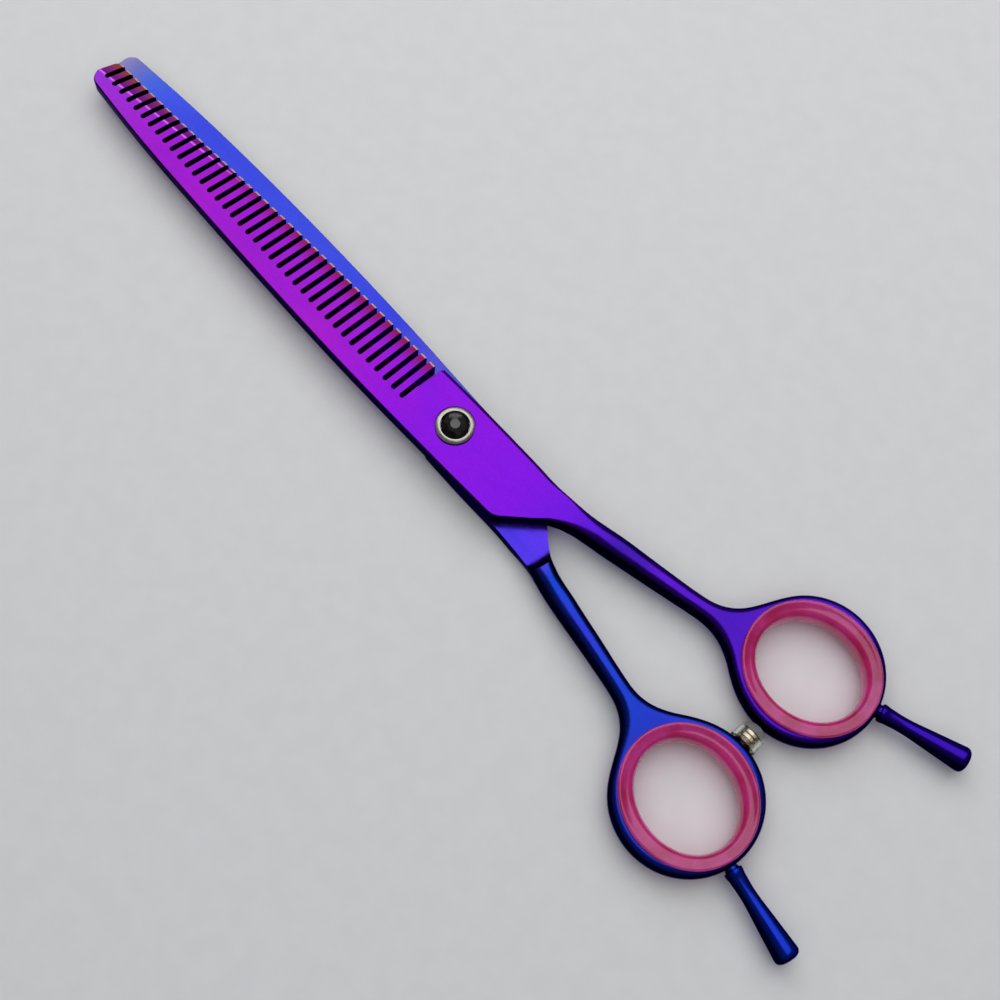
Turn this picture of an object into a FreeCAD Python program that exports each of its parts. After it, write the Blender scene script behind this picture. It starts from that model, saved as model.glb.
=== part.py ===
import FreeCAD, Part
import os
from math import atan2, cos, degrees, pi, radians, sin, sqrt

# Thinning shears, 178 mm from tip to the end of the finger rings.
# Millimetres. +X runs to the blade tips, +Z is the pivot axis with the jewelled screw head up,
# and the origin is on the pivot axis in the plane of the lower blade's underside.

V = FreeCAD.Vector
UP = V(0, 0, 1)

# ---- blades, heights ----
BLADE_T = 3.2              # thickness of each blade at the pivot
TIP_THINNING = 0.5         # how much thinner each blade is at its tip
RIDE_GAP = 0.06            # running gap between the two inner faces
RIDE_Z = BLADE_T
UPPER_Z = RIDE_Z + RIDE_GAP
TOP_Z = UPPER_Z + BLADE_T
MID_Z = TOP_Z / 2
TAPER_START_X = 12.0
TIP_X = 94.6
THINNING_SLOPE = TIP_THINNING / (TIP_X - TAPER_START_X)

# ---- teeth ----
SLOT_COUNT = 39
SLOT_PITCH = 2.163
LAST_SLOT_X = 92.35        # slot nearest the tip, on the X axis
SLOT_W = 1.0
LEAN_TIP = 9.8             # degrees, the slots fan out
LEAN_PIVOT = 1.4
ROOT_Y = 3.42              # closed end of the slots near the pivot
ROOT_DROP = 0.00032        # the closed ends fall by this times the square of the distance
TOOTH_CHAMFER = 0.4
BEVEL_ANGLE = 8.0          # the ground facet along the teeth near the tip

# ---- cutting edge of the plain blade ----
EDGE_Y = 0.15
EDGE_START_X = 9.5
EDGE_ANGLE = 42.0          # of the ground face under the edge, against the pivot axis
EDGE_LAND = 0.2

# ---- ricasso step ----
STEP_R = 25.1              # each handle's inner side is cut back inside this radius
STEP_FILLET = 3.9          # hollow curve from the step up to the handle's full height

# ---- finger rings ----
RING_1 = V(-70.85, -15.4, MID_Z)
RING_2 = V(-71.65, 14.75, MID_Z)
RING_R = 12.95
RING_WALL_IN = 9.9
WEB_FILLET = 9.5           # concave radius where each shank spreads into its ring
RING_H = 4.3
OPENING = (11.1, 10.3)     # half axes of the opening in the steel
HOLE = (9.5, 8.1)          # half axes of the finger hole in the insert
LIP = (12.2, 11.3)         # half axes of the insert's lips
INSERT_H = 5.7
LIP_T = 0.68
OVAL_TURN = 9.0            # degrees, long axis of the rings against X

# ---- finger rests ----
TANG_END = 29.8            # tip of the rest, from the ring's centre
TANG_1_ANGLE = 196.6
TANG_2_ANGLE = 168.4
TANG_STUD_R = 1.0
TANG_STUD_IN = 11.6

# ---- bumper ----
BUMPER_X = -71.7
BUMPER_R = 2.5
BUMPER_GAP = 0.05
STUD_R = 1.85
RIB_DEPTH = 0.3
STUD_END_Y = -0.7
STUD_ROOT_R = 0.8

# ---- pivot ----
HEAD_R = 3.42
HEAD_SEAT_DEPTH = 0.25
HEAD_RISE = 0.55           # rim of the cup above the blade
CUP_R = 2.55
GEM_R = 2.5
GEM_RISE = 1.15
GEM_TABLE_R = 0.85
NECK_R = 2.5
NECK_FLAT = 2.1
FIT = 0.03
JOURNAL_R = 2.0
JOURNAL_FIT = 0.04
THREAD_R = 1.5
BUSH_R = 3.1
BUSH_Z = 1.65
WASHER_R = 4.5
WASHER_Z = 2.95
WASHER_T = 0.56
NUT_R = 3.9
NUT_BORE_R = 4.1
NUT_Z = 0.0
NUT_T = 1.25


# ---- helpers ----

def spline(points):
    curve = Part.BSplineCurve()
    curve.interpolate([V(x, y, 0) for x, y in points])
    return curve.toShape()


def line(a, b):
    return Part.LineSegment(V(a[0], a[1], 0), V(b[0], b[1], 0)).toShape()


def arc(a, via, b):
    return Part.Arc(V(a[0], a[1], 0), V(via[0], via[1], 0), V(b[0], b[1], 0)).toShape()


def plate(edges, z_low, z_high):
    face = Part.Face(Part.Wire(edges))
    face.translate(V(0, 0, z_low))
    return face.extrude(V(0, 0, z_high - z_low))


def cylinder(radius, z_low, z_high, centre=V(0, 0, 0)):
    return Part.makeCylinder(radius, z_high - z_low, V(centre.x, centre.y, z_low), UP)


def tube(r_out, r_in, z_low, z_high):
    return cylinder(r_out, z_low, z_high).cut(cylinder(r_in, z_low, z_high))


def oval(half_axes, z_low, z_high, centre, turn):
    ellipse = Part.Ellipse(V(0, 0, 0), half_axes[0], half_axes[1])
    body = Part.Face(Part.Wire(ellipse.toShape())).extrude(V(0, 0, z_high - z_low))
    body.rotate(V(0, 0, 0), UP, turn)
    body.translate(V(centre.x, centre.y, z_low))
    return body


def spun(profile, axis_point=V(0, 0, 0), axis=UP):
    face = Part.Face(Part.makePolygon(profile + profile[:1]))
    return face.revolve(axis_point, axis, 360)


def section(x, y, half_width, z_low, z_high, squareness):
    """Rounded cross-section of a shank in a plane across X."""
    middle = (z_low + z_high) / 2
    half_height = (z_high - z_low) / 2
    points = []
    for k in range(24):
        a = 2 * pi * k / 24
        reach = (abs(cos(a)) ** squareness + abs(sin(a)) ** squareness) ** (-1 / squareness)
        points.append(V(x, y + half_width * reach * cos(a), middle + half_height * reach * sin(a)))
    curve = Part.BSplineCurve()
    curve.interpolate(Points=points, PeriodicFlag=True)
    return Part.Wire(curve.toShape())


def wedge_above(a, b, drop_angle):
    """Block above the plane that holds the line a-b and falls away on its right by drop_angle."""
    along = (b - a).normalize()
    block = Part.makeBox(160, 40, 20, V(-30, -40, 0))
    block.rotate(V(0, 0, 0), V(1, 0, 0), drop_angle)
    block.rotate(V(0, 0, 0), V(0, 1, 0), -degrees(atan2(along.z, sqrt(1 - along.z ** 2))))
    block.rotate(V(0, 0, 0), UP, degrees(atan2(along.y, along.x)))
    block.translate(a)
    return block


# ---- handle ----

def finger_ring(centre, turn):
    """Steel ring with rounded sides, before its opening is cut."""
    middle = (RING_R + RING_WALL_IN) / 2
    half = (RING_R - RING_WALL_IN) / 2
    points = []
    for k in range(24):
        a = 2 * pi * k / 24
        reach = (abs(cos(a)) ** 2.5 + abs(sin(a)) ** 2.5) ** (-1 / 2.5)
        points.append(V(middle + half * reach * cos(a), 0, MID_Z + RING_H / 2 * reach * sin(a)))
    curve = Part.BSplineCurve()
    curve.interpolate(Points=points, PeriodicFlag=True)
    face = Part.Face(Part.Wire(curve.toShape()))
    ring = face.revolve(V(0, 0, 0), UP, 360)
    ring.rotate(V(0, 0, 0), UP, turn)
    ring.translate(V(centre.x, centre.y, 0))
    return ring


def web_side(start, along, half_width, centre, side):
    """Concave arc that touches a shank's side and the ring, as (on shank, middle, on ring)."""
    normal = V(-along.y, along.x, 0) * side
    ring = V(centre.x, centre.y, 0)
    offset = (start - ring).dot(normal) + half_width + WEB_FILLET
    reach = sqrt((RING_R + WEB_FILLET) ** 2 - offset ** 2)
    middle = ring + normal * offset - along * reach
    on_shank = middle - normal * WEB_FILLET
    on_ring = ring + (middle - ring).normalize() * RING_R
    between = (on_shank - middle).normalize() + (on_ring - middle).normalize()
    return on_shank, middle + between.normalize() * WEB_FILLET, on_ring


def web(stations, centre):
    """Flat web between the two concave arcs where a shank meets its ring."""
    first, last = stations[-3], stations[-2]
    start = V(first[0], first[1], 0)
    along = (V(last[0], last[1], 0) - start).normalize()
    low = web_side(start, along, first[2], centre, 1)
    high = web_side(start, along, first[2], centre, -1)
    edges = [
        arc(low[0], low[1], low[2]),
        line(low[2], high[2]),
        arc(high[2], high[1], high[0]),
        line(high[0], low[0]),
    ]
    return plate(edges, MID_Z - RING_H * 0.4, MID_Z + RING_H * 0.4)


def handle(stations, centre, oval_turn, tang_angle):
    """Shank, web and ring of one half, with the openings for its insert and its finger rest."""
    shank = Part.makeLoft([section(*station) for station in stations], True, False)
    body = shank.fuse([web(stations, centre), finger_ring(centre, 180)])
    body = body.cut(oval(OPENING, -1, TOP_Z + 1, centre, oval_turn))
    return body.cut(tang_stud(centre, tang_angle))


def step(z_low, z_high, fillet_z):
    """Room for the other half's ricasso, turned about the pivot, with a hollow outer wall."""
    hollow = Part.makeTorus(STEP_R, STEP_FILLET, V(0, 0, fillet_z), UP)
    handle_side = Part.makeBox(30, 40, 20, V(-40, -20, -8))
    return cylinder(STEP_R, z_low, z_high).fuse(hollow).common(handle_side)


# ---- blades ----

def slot(index):
    """One slot between two teeth, open at the tooth tips and round at its closed end."""
    x = LAST_SLOT_X - SLOT_PITCH * index
    lean = LEAN_TIP + (LEAN_PIVOT - LEAN_TIP) * index / (SLOT_COUNT - 1)
    root = ROOT_Y - ROOT_DROP * (x - TAPER_START_X) ** 2 - SLOT_W / 2
    half = SLOT_W / 2
    edges = [
        line((-half, -9), (half, -9)),
        line((half, -9), (half, root)),
        arc((half, root), (0, root + half), (-half, root)),
        line((-half, root), (-half, -9)),
    ]
    cutter = plate(edges, UPPER_Z - 1, TOP_Z + 1)
    cutter.rotate(V(0, 0, 0), UP, -lean)
    cutter.translate(V(x, 0, 0))
    return cutter


def toothed_blank():
    """Plan outline of the toothed blade and its ricasso, before the teeth are cut."""
    tooth_line = [(9.3, -5.05), (28, -4.9), (45, -4.5), (60, -3.95), (76, -3.27), (93.2, -2.8)]
    spine = [(92.9, 3.5), (80, 4.7), (60, 5.75), (40, 6.45), (20, 6.85), (0, 6.7), (-14.6, 6.4)]
    outer = [(-27, -6.6), (-22, -5.9), (-14, -6.0), (0, -6.05), (9.1, -5.9)]
    edges = [
        spline(tooth_line),
        line((93.2, -2.8), (93.8, -2.35)),
        line((93.8, -2.35), (TIP_X, 1.0)),
        arc((TIP_X, 1.0), (94.2, 2.6), (92.9, 3.5)),
        spline(spine),
        arc((-14.6, 6.4), (-15.9, 6.15), (-16.9, 5.5)),
        line((-16.9, 5.5), (-22.9, -0.3)),
        spline([(-22.9, -0.3), (-24.8, -1.4), (-27, -2.25)]),
        line((-27, -2.25), (-27, -6.6)),
        spline(outer),
        line((9.1, -5.9), (9.3, -5.05)),
    ]
    return plate(edges, UPPER_Z, TOP_Z)


def toothed_blade():
    blank = toothed_blank()
    top = blank.BoundBox.ZMax
    tooth_edge = [e for e in blank.Edges
                  if e.BoundBox.ZMin > top - 0.01 and e.BoundBox.XLength > 80 and e.BoundBox.YMax < 0]
    blank = blank.makeChamfer(TOOTH_CHAMFER, tooth_edge)
    taper = wedge_above(V(TAPER_START_X, 0, TOP_Z), V(TIP_X, 0, TOP_Z - TIP_THINNING), 0)
    taper.translate(V(0, 20, 0))
    bevel_end = V(56, -3.75, TOP_Z - THINNING_SLOPE * (56 - TAPER_START_X))
    bevel_tip = V(TIP_X, 1.1, TOP_Z - TIP_THINNING)
    bevel = wedge_above(bevel_end, bevel_tip, BEVEL_ANGLE)
    taper = taper.common(Part.makeBox(100, 60, 30, V(TAPER_START_X, -30, 0)))
    blank = blank.cut([taper, bevel] + [slot(i) for i in range(SLOT_COUNT)])
    first_wall = Part.makePolygon([V(9.75, 2.2, 0), V(9.1, -6.5, 0), V(10.3, -6.5, 0),
                                   V(10.3, 2.2, 0), V(9.75, 2.2, 0)])
    relief = Part.Face(first_wall).extrude(V(0, 0, TOP_Z + 1))
    blank = blank.cut(relief)
    stations = [
        (-20, -3.1, 2.6, UPPER_Z, TOP_Z, 6),
        (-25, -3.9, 2.35, 2.6, TOP_Z - 0.02, 4),
        (-30, -5.2, 2.33, 1.2, TOP_Z - 0.15, 2.8),
        (-36, -6.5, 2.25, 0.95, 6.0, 2.3),
        (-43, -7.9, 2.05, 1.0, 5.7, 2.2),
        (-50, -9.4, 1.9, 1.08, 5.42, 2.2),
        (-56, -10.9, 2.1, 1.1, 5.36, 2.2),
        (-60.5, -12.2, 2.3, 1.2, 5.3, 2.2),
    ]
    body = blank.fuse(handle(stations, RING_1, OVAL_TURN, TANG_1_ANGLE))
    body = body.cut([step(-1, UPPER_Z, UPPER_Z - STEP_FILLET), neck_hole(),
                     cylinder(WASHER_R + 0.1, UPPER_Z - 1, WASHER_Z + WASHER_T + 0.02),
                     cylinder(HEAD_R + 0.2, TOP_Z - HEAD_SEAT_DEPTH, TOP_Z + 1)])
    return solid(body)


def plain_blank():
    """Plan outline of the plain blade and its ricasso."""
    spine = [(-14.6, -6.5), (0, -6.9), (20, -7.75), (40, -8.15), (60, -8.08), (80, -7.4), (92.6, -6.5)]
    edges = [
        line((93.2, EDGE_Y), (10.5, EDGE_Y)),
        spline([(10.5, EDGE_Y), (8.0, 0.75), (4.0, 4.6), (0.5, 6.15)]),
        spline([(0.5, 6.15), (-8, 6.4), (-20, 6.6), (-27, 7.1)]),
        line((-27, 7.1), (-27, 2.8)),
        line((-27, 2.8), (-23.6, 0.15)),
        line((-23.6, 0.15), (-17.0, -5.7)),
        arc((-17.0, -5.7), (-16.0, -6.3), (-14.6, -6.5)),
        spline(spine),
        arc((92.6, -6.5), (94.3, -5.9), (94.9, -4.4)),
        line((94.9, -4.4), (94.9, -1.6)),
        arc((94.9, -1.6), (94.4, -0.4), (93.2, EDGE_Y)),
    ]
    return plate(edges, 0, RIDE_Z)


def plain_blade():
    blank = plain_blank()
    below = Part.makeBox(100, 60, 10, V(0, -30, -10))
    below.rotate(V(0, 0, 0), V(0, 1, 0), -degrees(atan2(THINNING_SLOPE, 1)))
    below.translate(V(TAPER_START_X, 0, 0))
    edge_bevel = Part.makeBox(100, 12, 12, V(EDGE_START_X, 0, -12))
    edge_bevel.rotate(V(0, 0, 0), V(1, 0, 0), -EDGE_ANGLE)
    edge_bevel.translate(V(0, EDGE_Y, RIDE_Z - EDGE_LAND))
    blank = blank.cut([below, edge_bevel])
    stations = [
        (-20, 3.8, 2.4, 0, RIDE_Z, 6),
        (-25, 4.8, 2.3, 0.02, 4.6, 4),
        (-30, 6.15, 2.2, 0.15, 5.3, 2.8),
        (-36, 7.4, 2.1, 0.46, 5.5, 2.3),
        (-43, 8.65, 1.95, 0.76, 5.46, 2.2),
        (-50, 10.0, 1.85, 1.04, 5.38, 2.2),
        (-56, 11.2, 2.0, 1.1, 5.36, 2.2),
        (-60.5, 12.1, 2.2, 1.2, 5.3, 2.2),
    ]
    body = blank.fuse(handle(stations, RING_2, -OVAL_TURN, TANG_2_ANGLE))
    body = body.cut([step(RIDE_Z, TOP_Z + 1, RIDE_Z + STEP_FILLET),
                     cylinder(BUSH_R, BUSH_Z - 1, WASHER_Z + 1), cylinder(NUT_BORE_R, -1, BUSH_Z),
                     cylinder(WASHER_R + 0.1, WASHER_Z, RIDE_Z + 1),
                     bumper_root()])
    return solid(body)


# ---- finger inserts, rests and bumper ----

def finger_insert(centre, turn):
    """Soft ring with two lips that hold it in the steel ring."""
    low = MID_Z - INSERT_H / 2
    high = MID_Z + INSERT_H / 2
    body = oval(LIP, low, high, centre, turn)
    body = body.cut(oval(HOLE, low - 1, high + 1, centre, turn))
    soft_edges = [e for e in body.Edges if e.BoundBox.ZLength < 0.01]
    inner = [e for e in soft_edges if e.BoundBox.XLength < 2 * HOLE[0] + 0.5]
    outer = [e for e in soft_edges if e.BoundBox.XLength >= 2 * HOLE[0] + 0.5]
    body = body.makeFillet(2.0, inner)
    body = body.makeFillet(0.3, [e for e in body.Edges if e.BoundBox.ZLength < 0.01
                                 and e.BoundBox.XLength > 2 * LIP[0] - 1])
    groove = oval((LIP[0] + 2, LIP[1] + 2), low + LIP_T, high - LIP_T, centre, turn)
    groove = groove.cut(oval(OPENING, low, high, centre, turn))
    return solid(body.cut(groove))


def tang_stud(centre, angle):
    """Threaded root of a finger rest, and the hole that takes it."""
    direction = V(cos(radians(angle)), sin(radians(angle)), 0)
    return Part.makeCylinder(TANG_STUD_R, RING_R - TANG_STUD_IN + 0.6, centre + direction * TANG_STUD_IN,
                             direction)


def finger_rest(centre, angle):
    """Turned rest: collar, waist, flared end and a threaded root."""
    root = RING_R + 0.02
    outline = [(TANG_STUD_IN, 0), (TANG_STUD_IN, TANG_STUD_R), (root, TANG_STUD_R), (root, 1.25),
               (root + 0.4, 1.25), (root + 0.5, 1.62), (root + 1.3, 1.62), (root + 1.6, 1.5)]
    curve = Part.BSplineCurve()
    curve.interpolate([V(root + 1.6, 1.5, 0), V(root + 4.5, 1.37, 0), V(root + 10, 1.75, 0),
                       V(TANG_END - 1.3, 2.22, 0)])
    end = Part.Arc(V(TANG_END - 1.3, 2.22, 0), V(TANG_END - 0.45, 1.85, 0), V(TANG_END, 0.8, 0))
    straight = Part.makePolygon([V(a, r, 0) for a, r in outline])
    closing = Part.makePolygon([V(TANG_END, 0.8, 0), V(TANG_END, 0, 0), V(TANG_STUD_IN, 0, 0)])
    face = Part.Face(Part.Wire(straight.Edges + [curve.toShape(), end.toShape()] + closing.Edges))
    body = face.revolve(V(0, 0, 0), V(1, 0, 0), 360)
    body.rotate(V(0, 0, 0), UP, angle)
    body.translate(centre)
    return solid(body)


def bumper_root():
    return Part.makeCylinder(STUD_ROOT_R, 1.6, V(BUMPER_X, RING_2.y - RING_R + 1.4, MID_Z), V(0, -1, 0))


def turned_on_bumper_axis(outline):
    """Spin an outline of (radius, y) points about the bumper's axis."""
    points = [V(BUMPER_X + r, y, MID_Z) for r, y in outline]
    face = Part.Face(Part.makePolygon(points + points[:1]))
    return face.revolve(V(BUMPER_X, 0, MID_Z), V(0, 1, 0), 360)


def bumper_stud():
    base = RING_2.y - RING_R - 0.02
    outline = [(0, base + 1.4), (STUD_ROOT_R, base + 1.4), (STUD_ROOT_R, base), (STUD_R, base)]
    for groove in (0.38, 0.76, 1.6):
        outline += [(STUD_R, base - groove + 0.13), (STUD_R - RIB_DEPTH, base - groove),
                    (STUD_R, base - groove - 0.13)]
    outline += [(STUD_R, STUD_END_Y + 0.25), (STUD_R - 0.25, STUD_END_Y), (0, STUD_END_Y)]
    return solid(turned_on_bumper_axis(outline))


def bumper_cap():
    base = RING_2.y - RING_R - 0.05
    tip = RING_1.y + RING_R + BUMPER_GAP
    dome = 1.9
    outer = [(BUMPER_R + 0.1, base), (BUMPER_R + 0.1, base - 0.35), (BUMPER_R, base - 0.6)]
    for k in range(9):
        a = radians(90 * k / 8)
        outer.append((BUMPER_R * cos(a) if k < 8 else 0, tip + dome - dome * sin(a)))
    inner = [(0, STUD_END_Y), (STUD_R, STUD_END_Y), (STUD_R, base)]
    return solid(turned_on_bumper_axis(outer + inner))


# ---- pivot ----

def neck(radius, flat, z_low, z_high):
    slab = Part.makeBox(2 * radius, 2 * flat, z_high - z_low, V(-radius, -flat, z_low))
    return cylinder(radius, z_low, z_high).common(slab)


def neck_hole():
    return neck(NECK_R + FIT, NECK_FLAT + FIT, RIDE_Z, TOP_Z)


def pivot_screw():
    seat = TOP_Z - HEAD_SEAT_DEPTH
    rim = TOP_Z + HEAD_RISE
    neck_low = WASHER_Z + WASHER_T + 0.22
    head = spun([V(0, 0, seat), V(HEAD_R, 0, seat), V(HEAD_R, 0, TOP_Z + 0.25), V(3.3, 0, TOP_Z + 0.37),
                 V(2.95, 0, rim - 0.04), V(2.7, 0, rim), V(CUP_R, 0, rim - 0.1), V(CUP_R, 0, seat + 0.35),
                 V(0, 0, seat + 0.35)])
    shank = cylinder(JOURNAL_R, NUT_Z + NUT_T + 0.1, neck_low)
    thread = cylinder(THREAD_R, NUT_Z, NUT_Z + NUT_T + 0.1)
    return solid(head.fuse([neck(NECK_R, NECK_FLAT, neck_low, seat), shank, thread]))


def pivot_gem():
    """Faceted stone: sixteen sides from the girdle to a flat table."""
    floor = TOP_Z - HEAD_SEAT_DEPTH + 0.35
    levels = [(GEM_R * 0.7, floor), (GEM_R, floor + 0.35), (GEM_R, floor + 0.5),
              (GEM_R * 0.78, floor + 0.82), (GEM_TABLE_R, TOP_Z + GEM_RISE)]
    rings = []
    for radius, z in levels:
        corners = [V(radius * cos(pi * k / 8), radius * sin(pi * k / 8), z) for k in range(16)]
        rings.append(Part.makePolygon(corners + corners[:1]))
    return solid(Part.makeLoft(rings, True, True))


def pivot_bush():
    return solid(tube(BUSH_R, JOURNAL_R + JOURNAL_FIT, BUSH_Z, WASHER_Z))


def friction_washer():
    return solid(tube(WASHER_R, JOURNAL_R + 0.06, WASHER_Z, WASHER_Z + WASHER_T))


def spring_washer():
    """Dished spring washer between the nut and the lower blade."""
    low = NUT_Z + NUT_T
    return solid(spun([V(2.1, 0, low), V(2.1, 0, low + 0.22), V(3.5, 0, BUSH_Z), V(3.5, 0, BUSH_Z - 0.22)]))


def tension_nut():
    body = tube(NUT_R, THREAD_R, NUT_Z, NUT_Z + NUT_T)
    holes = [cylinder(0.5, NUT_Z - 1, NUT_Z + 0.8, V(side * 2.75, 0, 0)) for side in (-1, 1)]
    body = body.cut(holes)
    rim = [e for e in body.Edges if e.BoundBox.ZMax < NUT_Z + 0.01 and e.BoundBox.XLength > 2 * NUT_R - 1]
    return solid(body.makeChamfer(0.2, rim))


def solid(shape):
    """The single solid in a boolean's result."""
    shape = shape.removeSplitter()
    if len(shape.Solids) != 1:
        raise ValueError(f"{len(shape.Solids)} solids where one was expected")
    return shape.Solids[0]


NODES = {
    "toothed_blade": toothed_blade,
    "plain_blade": plain_blade,
    "pivot_screw": pivot_screw,
    "pivot_gem": pivot_gem,
    "pivot_bush": pivot_bush,
    "friction_washer": friction_washer,
    "spring_washer": spring_washer,
    "tension_nut": tension_nut,
    "toothed_ring_insert": lambda: finger_insert(RING_1, OVAL_TURN),
    "plain_ring_insert": lambda: finger_insert(RING_2, -OVAL_TURN),
    "toothed_finger_rest": lambda: finger_rest(RING_1, TANG_1_ANGLE),
    "plain_finger_rest": lambda: finger_rest(RING_2, TANG_2_ANGLE),
    "bumper_stud": bumper_stud,
    "bumper_cap": bumper_cap,
}

os.makedirs("parts", exist_ok=True)
for name, make in NODES.items():
    shape = make()
    shape.exportStep(f"parts/{name}.step")
    box = shape.BoundBox
    print(f"{name:20s} valid {shape.isValid()} volume {shape.Volume:9.2f} "
          f"x {box.XMin:.2f} {box.XMax:.2f} y {box.YMin:.2f} {box.YMax:.2f} z {box.ZMin:.2f} {box.ZMax:.2f}")
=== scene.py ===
"""Thinning shears with two coated steel halves, soft finger inserts and a jewelled pivot.

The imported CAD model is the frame. Detailed pieces are built around it, in metres, and ride on its bodies.
Shapes are worked out in millimetres and scaled when a mesh is made.
"""

from math import cos, pi, radians, sin, tan

import bmesh
import bpy
import numpy as np
from bpy.props import FloatProperty, FloatVectorProperty, IntProperty, PointerProperty
from bpy.types import Operator, Panel, PropertyGroup
from mathutils import Matrix, Vector


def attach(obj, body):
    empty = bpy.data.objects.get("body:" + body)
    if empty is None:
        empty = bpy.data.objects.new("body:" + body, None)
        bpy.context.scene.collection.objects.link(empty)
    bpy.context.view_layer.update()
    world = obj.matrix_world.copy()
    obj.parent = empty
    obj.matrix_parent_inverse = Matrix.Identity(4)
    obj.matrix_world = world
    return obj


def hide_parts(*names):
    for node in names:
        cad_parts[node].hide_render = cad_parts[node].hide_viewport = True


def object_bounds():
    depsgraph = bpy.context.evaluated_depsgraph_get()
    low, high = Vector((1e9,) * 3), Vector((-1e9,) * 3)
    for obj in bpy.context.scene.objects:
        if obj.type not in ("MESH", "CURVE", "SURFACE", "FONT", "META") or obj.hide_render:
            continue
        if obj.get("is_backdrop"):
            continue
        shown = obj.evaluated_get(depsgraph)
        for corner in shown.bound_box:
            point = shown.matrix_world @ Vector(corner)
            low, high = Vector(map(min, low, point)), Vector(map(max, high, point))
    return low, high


bl_info = {
    "name": "Thinning Shears",
    "version": (1, 0, 0),
    "blender": (4, 5, 0),
    "location": "View3D > Sidebar > Shears",
    "description": "Builds thinning shears from toothed blade to finger rests",
    "category": "Add Mesh",
}

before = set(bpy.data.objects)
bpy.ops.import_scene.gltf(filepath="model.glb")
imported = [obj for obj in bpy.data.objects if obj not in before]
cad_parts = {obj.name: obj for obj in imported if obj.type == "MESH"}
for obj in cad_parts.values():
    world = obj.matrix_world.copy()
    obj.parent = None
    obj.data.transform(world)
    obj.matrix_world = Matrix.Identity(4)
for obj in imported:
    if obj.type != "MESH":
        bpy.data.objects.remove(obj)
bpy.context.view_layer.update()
MM = 0.001

# ---- sizes, millimetres, as in the CAD part ----
BLADE_T = 3.2
RIDE_Z = BLADE_T
UPPER_Z = RIDE_Z + 0.06
TOP_Z = UPPER_Z + BLADE_T
MID_Z = TOP_Z / 2
TAPER_START_X = 12.0
TIP_X = 94.6
TAPER = 0.5 / (TIP_X - TAPER_START_X)
TOOTH_CHAMFER = 0.4
FIRST_TOOTH_X = 9.3
BEVEL_START = (56.0, -3.75)
BEVEL_END = (TIP_X, 1.1)
BEVEL_DROP = tan(radians(8))
EDGE_Y = 0.15
EDGE_LAND = 0.2
EDGE_SLOPE = tan(radians(42))
EDGE_ROUND = 0.3
STEP_R = 25.1
STEP_FILLET = 3.9
RING_1 = Vector((-70.85, -15.4, MID_Z))
RING_2 = Vector((-71.65, 14.75, MID_Z))
RING_R = 12.95
RING_WALL_IN = 9.9
RING_H = 4.3
RING_POWER = 2.5
OPENING = (11.1, 10.3)
HOLE = (9.5, 8.1)
LIP = (12.2, 11.3)
INSERT_H = 5.7
LIP_T = 0.68
OVAL_TURN = 9.0
WEB_REACH = 8.0
SEAM_X = -36.0
GRID_STEP = 0.3
SHARP_ANGLE = 28
TANG_1_ANGLE = 196.6
TANG_END = 29.8
TANG_2_ANGLE = 168.4
BUMPER_X = -71.7
HEAD_R = 3.42
HEAD_SEAT = TOP_Z - 0.25
HEAD_RIM = TOP_Z + 0.55
STONE_SEAT = HEAD_SEAT + 0.35
NECK_ROOM = (2.53, 2.13)    # radius and flat
BUSH_R = 3.1
BUSH_Z = 1.65
NUT_ROOM_R = 4.1
WASHER_ROOM_R = 4.6
WASHER_Z = 2.95
STONE_SIDES = 16
# direction of the stone facet given a painted highlight
STONE_GLINT = (0.27, -0.24, 0.93)
# dark maroon painted as shade on the steep walls inside the slots
SLOT_SHADE_COLOUR = (0.15, 0.02, 0.09)
CAMERA_PLACE = (-65.3755, 73.6795, 261.533)
CAMERA_AXES = ((-0.68237, -0.72806, 0.06562), (0.70657, -0.63388, 0.31455), (-0.18742, 0.26101, 0.94697))

# Shank stations from ring to pivot: x, y, half width, low z, high z, squareness.
TOOTHED_SHANK = np.array([
    (-60.5, -12.2, 2.3, 1.2, 5.3, 2.2), (-56, -10.9, 2.1, 1.1, 5.36, 2.2),
    (-50, -9.4, 1.9, 1.08, 5.42, 2.2), (-43, -7.9, 2.05, 1.0, 5.7, 2.2),
    (-36, -6.5, 2.25, 0.95, 6.0, 2.3), (-30, -5.2, 2.33, 1.2, 6.31, 2.8),
    (-25, -3.9, 2.35, 2.2, 6.44, 4), (-20, -3.1, 2.6, 2.6, TOP_Z, 6),
])
PLAIN_SHANK = np.array([
    (-60.5, 12.1, 2.2, 1.2, 5.3, 2.2), (-56, 11.2, 2.0, 1.1, 5.36, 2.2),
    (-50, 10.0, 1.85, 1.04, 5.38, 2.2), (-43, 8.65, 1.95, 0.76, 5.46, 2.2),
    (-36, 7.4, 2.1, 0.46, 5.5, 2.3), (-30, 6.15, 2.2, 0.15, 5.3, 2.8),
    (-25, 4.8, 2.3, 0.02, 4.9, 4), (-20, 3.8, 2.4, 0, 4.4, 6),
])


# ---- curves and fields ----

def smooth(xs, ys, x):
    """Smooth curve through the points, read at x, and level beyond its ends."""
    xs, ys = np.asarray(xs, float), np.asarray(ys, float)
    slope = np.gradient(ys, xs)
    x = np.clip(x, xs[0], xs[-1])
    i = np.clip(np.searchsorted(xs, x) - 1, 0, len(xs) - 2)
    run = xs[i + 1] - xs[i]
    t = (x - xs[i]) / run
    from_first = (2 * t ** 3 - 3 * t ** 2 + 1) * ys[i] + (t ** 3 - 2 * t ** 2 + t) * run * slope[i]
    return from_first + (3 * t ** 2 - 2 * t ** 3) * ys[i + 1] + (t ** 3 - t ** 2) * run * slope[i + 1]


def ease(start, end, x):
    t = np.clip((x - start) / (end - start), 0, 1)
    return t * t * (3 - 2 * t)


def spline_run(*points):
    """Dense points along a smooth run in plan, from low x to high x."""
    xs, ys = zip(*points)
    x = np.linspace(xs[0], xs[-1], 60)
    return list(zip(x, smooth(xs, ys, x)))


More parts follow.
